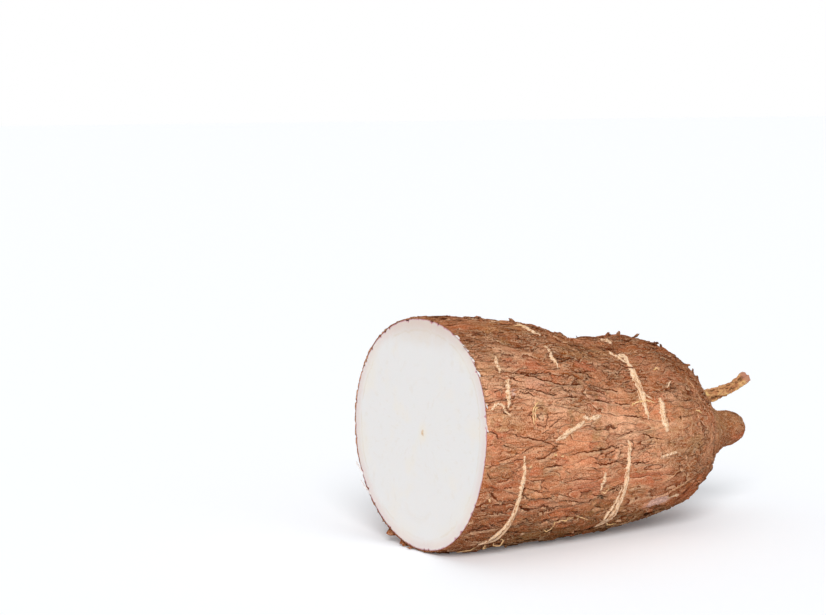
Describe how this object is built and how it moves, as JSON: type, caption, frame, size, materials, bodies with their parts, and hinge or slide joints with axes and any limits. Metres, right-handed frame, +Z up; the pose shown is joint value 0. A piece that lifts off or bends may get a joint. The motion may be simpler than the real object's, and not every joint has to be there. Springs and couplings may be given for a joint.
{
  "type": "cassava root",
  "caption": "Piece of a cassava root lying on its side, with one flat cut face, flaky brown bark, a broken tail stub and a thin side root.",
  "frame": {"origin": "bottom centre of the whole root's box, on the surface it lies on", "axes": "+X from the cut face towards the tail stub, +Z up, +Y across"},
  "size_m": [0.1354, 0.0726, 0.0718],
  "materials": {
    "bark": "matte, flaky and fibrous",
    "flesh": "matte, freshly cut and slightly moist",
    "corky_scar": "matte, fibrous and corky"
  },
  "bodies": {
    "root": {"cassava_root": "bark"}
  },
  "joints": []
}
